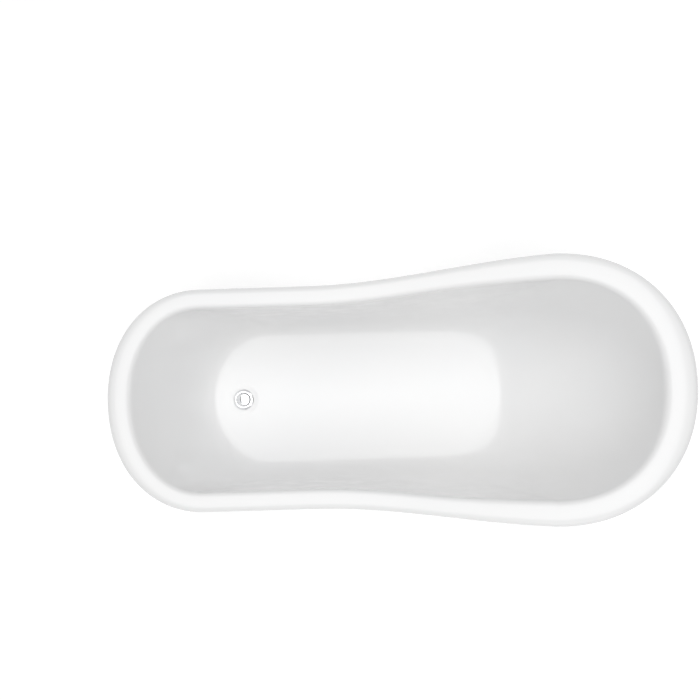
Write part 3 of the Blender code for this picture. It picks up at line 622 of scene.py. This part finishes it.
def loft(name, columns, inside_out, cap_bottom, cap_top):
    """A surface of quads through columns of points."""
    edit = bmesh.new()
    grid = [[edit.verts.new(point) for point in column] for column in columns]
    for place, column in enumerate(grid):
        before = grid[place - 1]
        for low in range(len(column) - 1):
            edit.faces.new((before[low], column[low], column[low + 1], before[low + 1]))
    if cap_bottom:
        edit.faces.new([column[0] for column in reversed(grid)])
    if cap_top:
        edit.faces.new([column[-1] for column in grid])
    if inside_out:
        bmesh.ops.reverse_faces(edit, faces=edit.faces)
    return add_object(name, mesh_from(name, edit))


def thicken(target, thickness):
    """Give an open surface a wall behind its faces."""
    wall = target.modifiers.new("Solidify", "SOLIDIFY")
    wall.thickness = thickness
    wall.offset = -1.0
    wall.use_even_offset = True
    wall.use_quality_normals = True


RIM_RING = plan_ring(RIM_PLAN)
RIM_FACING = outward(RIM_RING)


def make_basin():
    """The bathing shell in one moulding, with its dished drain."""
    floor = plan_ring(FLOOR_PLAN)
    columns = []
    for low, high, facing in zip(floor, RIM_RING, RIM_FACING):
        toward = low - DRAIN
        turn = atan2(toward.y, toward.x)
        columns.append(floor_column(low, turn) + basin_column(low, high, facing))
    basin = loft("bathing_shell", columns, inside_out=True, cap_bottom=False, cap_top=False)
    basin.data.materials.append(BATHING_ACRYLIC)
    thicken(basin, BASIN_THICKNESS)
    settle(basin)
    for vertex in basin.data.vertices:
        if vertex.co.z > FLOOR_TOP - BASIN_THICKNESS / 2:
            rising = ease((vertex.co.xy - DRAIN).length, DISH_FLAT, DISH_RADIUS)
            vertex.co.z -= DISH_DEPTH * (1.0 - rising)
    bevel(basin, 0.0015, 3)
    settle(basin)
    smooth(basin, 0.7)
    piece(basin, "tub", "bathing_acrylic", "basin_shell")


def skin_columns(clearance=0.0):
    """The outer skin's surface, moved outwards by a clearance."""
    belly = plan_ring(BELLY_PLAN)
    return [skin_column(b, r, facing, clearance) for b, r, facing in zip(belly, RIM_RING, RIM_FACING)]


def make_skin():
    """The outer skin with its access and bolt holes, and the sealant in the seam under the rim."""
    skin = loft("outer_skin", skin_columns(), inside_out=False, cap_bottom=True, cap_top=False)
    skin.data.materials.append(SKIN_ACRYLIC)
    thicken(skin, SKIN_THICKNESS)
    settle(skin)
    reach = (BELLY_BOTTOM - REACH, BELLY_BOTTOM + SKIN_THICKNESS + REACH)
    boolean(skin, prism("access_hole", ACCESS_HOLE, *reach, DRAIN, 96))
    for corner in CORNERS:
        boolean(skin, prism("bolt_hole", BOLT_HOLE, *reach, centre_of("foot_bolt_" + corner), 32))
    smooth(skin, 0.5)
    piece(skin, "tub", "skin_acrylic", "outer_shell")

    columns = []
    for point, facing in zip(RIM_RING, RIM_FACING):
        middle = rim_place(point, facing, SKIN_INSET, LIP_DROP - 0.0008)
        out = Vector((*facing, 0.0))
        columns.append([
            middle + (out * cos(turn) + Vector((0.0, 0.0, 1.0)) * sin(turn)) * SEALANT_RADIUS
            for turn in (2 * pi * step / 8 for step in range(9))
        ])
    bead = loft("seam_sealant", columns, inside_out=False, cap_bottom=False, cap_top=False)
    edit = bmesh.new()
    edit.from_mesh(bead.data)
    bmesh.ops.remove_doubles(edit, verts=edit.verts, dist=0.000001)
    bmesh.ops.recalc_face_normals(edit, faces=edit.faces)
    edit.to_mesh(bead.data)
    edit.free()
    bead.data.materials.append(SEALANT)
    smooth(bead, 1.5)
    piece(bead, "tub", "skin_acrylic")


# --- Claw feet --------------------------------------------------------------------------------
BALL_RADIUS, BALL_HEIGHT, BALL_FLAT = 0.034, 0.052, 0.021
FOOT_VOXEL = 0.0012


class Forms:
    """Overlapping balls and discs, gathered as one soup that remeshing turns into one skin."""

    def __init__(self):
        edit = bmesh.new()
        bmesh.ops.create_icosphere(edit, subdivisions=3, radius=1.0)
        self.ball_points = np.array([vert.co for vert in edit.verts])
        self.ball_faces = np.array([[vert.index for vert in face.verts] for face in edit.faces])
        edit.free()
        self.points, self.faces, self.count = [], [], 0

    def ball(self, centre, size):
        """An ellipsoid with its three half-sizes."""
        self.points.append(self.ball_points * np.array(size) + np.array(centre))
        self.faces.append(self.ball_faces + self.count)
        self.count += len(self.ball_points)

    def chain(self, points, radii, widen=(1.0, 1.0, 1.0), spacing=0.3):
        """Balls along a path, close enough to make one smooth limb."""
        for (start, end), (first, last) in zip(zip(points, points[1:]), zip(radii, radii[1:])):
            start, end = Vector(start), Vector(end)
            count = max(2, int((end - start).length / (min(first, last) * spacing)) + 1)
            for step in range(count + 1):
                radius = blend(first, last, step / count)
                self.ball(start.lerp(end, step / count), [radius * share for share in widen])

    def mesh(self, name):
        """The soup as one mesh."""
        made = bpy.data.meshes.new(name)
        made.from_pydata(np.concatenate(self.points).tolist(), [], np.concatenate(self.faces).tolist())
        return made


# Down a toe: angle from the top of the ball, height over the ball, thickness.
TOE = (
    (0.25, 0.0000, 0.0110), (0.50, 0.0030, 0.0100), (0.72, 0.0055, 0.0108), (0.98, 0.0035, 0.0080),
    (1.24, 0.0045, 0.0092), (1.48, 0.0030, 0.0068), (1.68, 0.0036, 0.0070), (1.86, 0.0030, 0.0046),
    (2.06, 0.0020, 0.0032), (2.24, 0.0006, 0.0018),
)
TOE_TURNS = (-1.25, -0.42, 0.42, 1.25, pi)

# Down the leg in the foot's own frame: place outwards and height, then the thickness there.
LEG = ((-0.105, 0.099), (-0.070, 0.097), (-0.035, 0.099), (-0.006, 0.109), (0.014, 0.112),
       (0.018, 0.098), (0.008, 0.082))
LEG_RADII = (0.009, 0.011, 0.015, 0.021, 0.023, 0.019, 0.017)


def add_toe(forms, turn):
    """A toe that leaves the ankle, grips the ball over two knuckles and ends in a hooked claw."""
    points = []
    for fall, proud, _ in TOE:
        away = BALL_RADIUS + proud
        level = away * sin(fall)
        points.append((level * cos(turn), level * sin(turn), BALL_HEIGHT + away * cos(fall)))
    forms.chain(points, [radius for _, _, radius in TOE])


def add_leaf(forms, skin_at):
    """An acanthus leaf that lies on the belly: a middle rib with a curled tip, and side lobes."""
    for height, size in ((0.135, 0.030), (0.162, 0.026), (0.182, 0.020)):
        forms.ball((skin_at(0.0, height), 0.0, height), (0.010, size, size))
    points = [(skin_at(0.0, z) + 0.004, 0.0, z) for z in (0.118, 0.140, 0.160, 0.180, 0.196)]
    points += [(points[-1][0] + 0.006, 0.0, 0.208), (points[-1][0] + 0.014, 0.0, 0.209)]
    forms.chain(points, (0.012, 0.0105, 0.009, 0.0078, 0.0068, 0.0060, 0.0040))
    lobes = ((0.021, 0.199, 0.0072), (0.036, 0.181, 0.0076), (0.045, 0.158, 0.0076), (0.047, 0.134, 0.0070))
    for side in (-1.0, 1.0):
        for reach, height, size in lobes:
            path, radii = [], []
            for step in range(9):
                share = step / 8
                y = side * blend(0.004, reach, share ** 0.8)
                z = blend(0.118, height, share) + 0.14 * sin(pi * share) * (height - 0.125)
                path.append((skin_at(y, z) + 0.0022 + 0.004 * share ** 3, y, z))
                radii.append(size * blend(0.95, 0.62, abs(share - 0.55) * 1.6))
            forms.chain(path, radii)


def add_volutes(forms):
    """A scroll on each side of the knee."""
    for side in (-1.0, 1.0):
        swirl, radii = [], []
        for step in range(19):
            share = step / 18
            turn = 0.6 + 4.8 * share
            away = blend(0.0140, 0.0030, share)
            swirl.append((0.015 + away * cos(turn), side * 0.0265, 0.108 + away * sin(turn)))
            radii.append(blend(0.0060, 0.0042, share))
        forms.chain(swirl, radii)


def foot_mesh(name, skin_at):
    """All the forms of one casting, +X outwards. skin_at(y, z) gives the belly's place along X."""
    forms = Forms()
    forms.ball((0.0, 0.0, BALL_HEIGHT), (BALL_RADIUS, BALL_RADIUS, BALL_RADIUS))
    for turn in TOE_TURNS:
        add_toe(forms, turn)
    forms.chain([(x, 0.0, z) for x, z in LEG], LEG_RADII, (1.0, 1.35, 1.0))
    for step in range(14):
        turn = 2 * pi * step / 14
        bead = (0.008 + 0.021 * cos(turn), 0.024 * sin(turn), 0.0895 - 0.004 * cos(turn))
        forms.ball(bead, (0.0042, 0.0042, 0.0042))
    add_leaf(forms, skin_at)
    add_volutes(forms)
    for share in (0.0, 0.5, 1.0):
        forms.ball((-0.105, 0.0, BELLY_BOTTOM - 0.006 + 0.002 * share), (0.034, 0.034, 0.0055))
    return forms.mesh(name)


def make_foot(corner, cutter, tree):
    """One casting: the forms are remeshed into one skin, smoothed, and fitted to the belly."""
    axis = centre_of("leveller_stem_" + corner)
    anchor = centre_of("foot_bolt_" + corner)
    heading = (axis - anchor).normalized()
    place = Matrix.Translation((*axis, 0.0)) @ Matrix.Rotation(atan2(heading.y, heading.x), 4, "Z")

    def skin_at(y, z):
        start = place @ Vector((0.3, y, max(z, BELLY_BOTTOM + 0.004)))
        hit = tree.ray_cast(start, Vector((-heading.x, -heading.y, 0.0)))[0]
        return (place.inverted() @ hit).x

    name = "claw_foot_casting_" + corner
    foot = add_object(name, foot_mesh(name, skin_at))
    remesh = foot.modifiers.new("Remesh", "REMESH")
    remesh.mode = "VOXEL"
    remesh.voxel_size = FOOT_VOXEL
    relax = foot.modifiers.new("Smooth", "SMOOTH")
    relax.factor = 0.5
    relax.iterations = 4
    settle(foot)

    low, high = BELLY_BOTTOM - GAP - 0.008, BELLY_BOTTOM
    origin = Vector((0.0, 0.0))
    bolt = Vector((-0.105, 0.0))
    for name, radius, bottom, top, spot in (
        ("ball_flat", 0.08, -0.03, BALL_FLAT, origin), ("stem_bore", 0.0054, 0.0, 0.066, origin),
        ("bolt_seat", 0.0135, low - 0.03, low, bolt),
        ("bolt_hole", BOLT_HOLE, low - REACH, high + REACH, bolt),
    ):
        boolean(foot, prism(name, radius, bottom, top, spot, 64))
    foot.data.transform(place)
    boolean(foot, add_object("belly_form_copy", cutter.data.copy()))
    foot.data.materials.clear()
    foot.data.materials.append(CAST_CHROME)
    smooth(foot, 1.0)
    piece(foot, "tub", "foot_chrome", "claw_foot_" + corner)


def threaded_rod(name, centre, low, high, radius):
    """A rod with a helical thread, chamfered at both ends."""
    around, per_turn = 32, 8
    rows = int((high - low) / THREAD_PITCH * per_turn)
    depth = THREAD_PITCH * 0.55
    edit = bmesh.new()
    rings = []
    for row in range(rows + 1):
        height = blend(low, high, row / rows)
        ring = []
        for step in range(around):
            turn = 2 * pi * step / around
            phase = (height / THREAD_PITCH - step / around) % 1.0
            cut = depth * (1.0 - abs(2.0 * phase - 1.0))
            tip = min(height - low, high - height)
            away = min(radius - cut, radius - depth * 1.1 + tip)
            ring.append(edit.verts.new((centre.x + away * cos(turn), centre.y + away * sin(turn), height)))
        rings.append(ring)
    for below, above in zip(rings, rings[1:]):
        for step in range(around):
            after = (step + 1) % around
            edit.faces.new((below[step], below[after], above[after], above[step]))
    edit.faces.new(list(reversed(rings[0])))
    edit.faces.new(rings[-1])
    rod = add_object(name, mesh_from(name, edit), ZINC)
    smooth(rod, 0.9)
    return rod


def make_leveller(corner):
    """The stem, pad and lock nut under one foot, and the bolt that holds the foot."""
    stem = "leveller_stem_" + corner
    axis = centre_of(stem)
    low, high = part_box(stem)
    rod = threaded_rod("threaded_" + stem, axis, low.z, high.z, high.x - axis.x)
    piece(rod, stem, "zinc_steel", stem)

    pad = "leveller_pad_" + corner
    low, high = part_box(pad)
    outer, socket, floor = high.x - axis.x, STEM_BORE, 0.0035
    outline = [(0.0, floor), (socket, floor), (socket, high.z), (0.011, high.z), (0.0135, 0.0058),
               (outer - 0.0025, 0.0048), (outer, 0.0030), (outer, 0.0), (outer - 0.0015, 0.0)]
    for ridge in (0.0150, 0.0115, 0.0080):
        outline += [(ridge + 0.0005, 0.0), (ridge, 0.0006), (ridge - 0.0008, 0.0006), (ridge - 0.0013, 0.0)]
    outline.append((0.0, 0.0))
    made = turned("moulded_" + pad, rounded(outline, 0.0005), axis, RUBBER, 64)
    piece(made, pad, "pad_rubber", pad)

    turn = 0.3 + CORNERS.index(corner)
    node = "lock_nut_" + corner
    low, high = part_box(node)
    nut = hexagon("turned_" + node, axis, low.z, high.z, LOCK_NUT_RADIUS, turn, ZINC, STEM_BORE)
    piece(nut, "tub", "zinc_steel", node)

    node = "foot_bolt_" + corner
    low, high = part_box(node)
    anchor = centre_of(node)
    top = low.z + BOLT_HEAD_HEIGHT
    head = hexagon("turned_" + node, anchor, low.z, top, BOLT_HEAD_RADIUS, turn, ZINC)
    shank = threaded_rod(node + "_shank", anchor, low.z + 0.005, high.z, BOLT_RADIUS)
    boolean(head, shank, "UNION")
    smooth(head, 0.5)
    piece(head, "tub", "zinc_steel", node)


def make_feet():
    """Four castings with their levellers and bolts."""
    cutter = loft("belly_form", skin_columns(GAP), inside_out=False, cap_bottom=True, cap_top=True)
    tree = BVHTree.FromObject(cutter, bpy.context.evaluated_depsgraph_get())
    for corner in CORNERS:
        make_foot(corner, cutter, tree)
        make_leveller(corner)
    bpy.data.objects.remove(cutter)


# --- Waste ------------------------------------------------------------------------------------
def make_waste():
    """The flange with its crosspiece, the pop-up stopper, and the tailpiece with its nut."""
    low, high = FLANGE_LOW, FLANGE_HIGH
    outer = high.x - DRAIN.x
    seat = FLOOR_TOP - DISH_DEPTH
    under = seat + SEAL_THICKNESS + GAP
    profile = [
        (THROAT, high.z - 0.0010), (THROAT + 0.0008, high.z - 0.0002), (THROAT + 0.0022, high.z),
        (THROAT + 0.0045, high.z - 0.0002), (outer - 0.0035, under + 0.0022),
        (outer - 0.0010, under + 0.0012), (outer, under + 0.0005), (outer, under), (BARREL, under),
        (BARREL, low.z), (BORE, low.z), (BORE, seat - 0.0006), (BORE + 0.0006, seat), (THROAT, seat),
    ]
    flange = turned("waste_flange", rounded(profile, 0.0004), DRAIN, PLAIN_CHROME, 128)
    span = 2 * BORE + 0.004
    for size in ((span, CROSS_WIDTH), (CROSS_WIDTH, span)):
        edit = bmesh.new()
        place = Matrix.Translation((*DRAIN, (HUB_LOW + HUB_HIGH) / 2))
        place = place @ Matrix.Diagonal((*size, HUB_HIGH - HUB_LOW, 1.0))
        bmesh.ops.create_cube(edit, size=1.0, matrix=place)
        boolean(flange, add_object("cross_bar", mesh_from("cross_bar", edit)), "UNION")
    boolean(flange, prism("cross_hub", HUB_RADIUS, HUB_LOW, HUB_HIGH, DRAIN, 48), "UNION")
    boolean(flange, prism("cross_bore", HUB_BORE, HUB_LOW - REACH, HUB_HIGH + REACH, DRAIN, 48))
    smooth(flange, 0.5)
    piece(flange, "tub", "waste_chrome", "drain_flange")

    low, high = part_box("stopper_cap")
    cap_radius = high.x - DRAIN.x
    seal_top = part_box("stopper_seal")[1].z
    rim = seal_top + GAP
    dome = []
    for step in range(11):
        share = step / 10
        dome.append((cap_radius * 0.96 * share, blend(high.z, rim + 0.0012, share ** 2)))
    profile = dome + [(cap_radius, rim + 0.0006), (cap_radius, rim), (cap_radius - 0.001, rim),
                      (CAP_HUB_RADIUS, rim), (CAP_HUB_RADIUS, low.z), (0.0, low.z)]
    cap = turned("stopper_dome", profile, DRAIN, PLAIN_CHROME, 128)
    piece(cap, "stopper", "waste_chrome", "stopper_cap")

    low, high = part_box("stopper_seal")
    reach = high.x - DRAIN.x
    inner = CAP_HUB_RADIUS + GAP
    profile = [(inner, high.z), (reach - 0.0014, high.z), (reach, high.z - 0.0012),
               (reach - 0.0003, low.z), (inner, low.z)]
    seal = turned("stopper_lip_seal", rounded(profile, 0.0004), DRAIN, RUBBER, 96)
    piece(seal, "stopper", "waste_rubber", "stopper_seal")

    low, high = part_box("tailpiece")
    collar = high.x - DRAIN.x
    shoulder = high.z - COLLAR_THICKNESS
    profile = [(TAIL_BORE, high.z), (collar, high.z), (collar, shoulder), (TAIL_RADIUS + 0.0003, shoulder),
               (TAIL_RADIUS, shoulder - 0.0006), (TAIL_RADIUS, low.z), (TAIL_BORE, low.z)]
    tail = turned("waste_tailpiece", rounded(profile, 0.0003), DRAIN, PLAIN_CHROME, 96)
    piece(tail, "tub", "waste_chrome", "tailpiece")

    low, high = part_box("slip_nut")
    nut = hexagon("waste_slip_nut", DRAIN, low.z, high.z, SLIP_NUT_RADIUS, 0.0, PLAIN_CHROME, SLIP_NUT_BORE)
    boolean(nut, prism("nut_thread", BARREL_CLEAR, shoulder - GAP, high.z + REACH, DRAIN, 96))
    smooth(nut, 0.35)
    piece(nut, "tub", "waste_chrome", "slip_nut")

    low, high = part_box("drain_locknut")
    nut = hexagon("waste_lock_nut", DRAIN, low.z, high.z, high.y, pi / 2, BRASS, BARREL_CLEAR)
    piece(nut, "tub", "waste_brass", "drain_locknut")


def make_spring():
    """The click spring: ground ends and open coils, running from cartridge to stopper."""
    low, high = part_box("click_spring")
    wire = 0.0006
    turns, per_turn, around = 4.5, 40, 8
    coil = (high.x - low.x) / 2 - wire
    edit = bmesh.new()
    rings = []
    count = int(turns * per_turn)
    for step in range(count + 1):
        share = step / count
        turn = 2 * pi * turns * share
        closed = ease(share, 0.0, 0.18) * 0.5 + ease(share, 0.82, 1.0) * 0.5
        height = blend(low.z + wire, high.z - wire, 0.35 * closed + 0.65 * share)
        out = Vector((cos(turn), sin(turn), 0.0))
        middle = Vector((*DRAIN, height)) + out * coil
        rings.append([
            edit.verts.new(middle + (out * cos(a) + Vector((0.0, 0.0, 1.0)) * sin(a)) * wire)
            for a in (2 * pi * place / around for place in range(around))
        ])
    for first, second in zip(rings, rings[1:]):
        for place in range(around):
            after = (place + 1) % around
            edit.faces.new((first[place], first[after], second[after], second[place]))
    edit.faces.new(list(reversed(rings[0])))
    edit.faces.new(rings[-1])
    bmesh.ops.recalc_face_normals(edit, faces=edit.faces)
    spring = add_object("wound_click_spring", mesh_from("wound_click_spring", edit), ZINC)
    smooth(spring, 1.2)
    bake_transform(spring)
    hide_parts("click_spring")


def finish_cad_nodes():
    """Give every CAD node that stays in view its detailed material."""
    finishes = {
        "bathing_acrylic": BATHING_ACRYLIC, "skin_acrylic": SKIN_ACRYLIC, "plywood": PLYWOOD,
        "waste_chrome": PLAIN_CHROME, "waste_brass": BRASS, "waste_rubber": RUBBER,
        "spring_steel": ZINC, "foot_chrome": CAST_CHROME, "zinc_steel": ZINC, "pad_rubber": RUBBER,
    }
    for entry in frame["record"]["subparts"]:
        shown = frame["nodes"][entry["node"]]
        for place in shown.material_slots:
            place.material = finishes[entry["material_slot"]]


# --- Studio -------------------------------------------------------------------------------------
def area_light(name, place, aim, size, power):
    """A rectangular soft light aimed at a point."""
    data = bpy.data.lights.new(name, "AREA")
    data.shape = "RECTANGLE"
    data.size, data.size_y = size
    data.energy = power
    lamp = bpy.data.objects.new(name, data)
    lamp.location = place
    lamp.rotation_euler = (Vector(aim) - Vector(place)).to_track_quat("-Z", "Y").to_euler()
    bpy.context.scene.collection.objects.link(lamp)


def make_studio():
    """A pale floor, a broad overhead light, a weaker one from the side, and a grey surround."""
    edit = bmesh.new()
    bmesh.ops.create_grid(edit, x_segments=8, y_segments=8, size=14.0)
    floor = add_object("studio_floor", mesh_from("studio_floor", edit), make_floor_finish())

    world = bpy.data.worlds.new("studio")
    bpy.context.scene.world = world
    world.use_nodes = True
    background = world.node_tree.nodes["Background"]
    background.inputs["Color"].default_value = (0.94, 0.94, 0.94, 1.0)
    background.inputs["Strength"].default_value = 0.36

    area_light("overhead", (0.0, 0.0, 4.6), (0.0, 0.0, 0.0), (4.6, 6.0), 159.0)
    area_light("side_right", (0.5, -4.2, 2.2), (0.0, 0.0, 0.4), (3.0, 1.6), 12.0)


def make_camera():
    """Straight down over the tub, turned a little, framed as the photograph is."""
    data = bpy.data.cameras.new("photo_camera")
    data.sensor_width = 36.0
    data.lens = FOCAL_PIXELS / FRAME_PIXELS * data.sensor_width
    data.shift_x, data.shift_y = CAMERA_SHIFT
    camera = bpy.data.objects.new("photo_camera", data)
    camera.location = (CAMERA_X, 0.0, CAMERA_HEIGHT)
    camera.rotation_euler = (0.0, 0.0, -CAMERA_ROLL)
    bpy.context.scene.collection.objects.link(camera)
    bpy.context.scene.camera = camera
    bpy.context.scene.view_settings.view_transform = "Standard"


make_camera()
make_studio()
finish_cad_nodes()
make_basin()
make_skin()
make_feet()
make_waste()
make_spring()
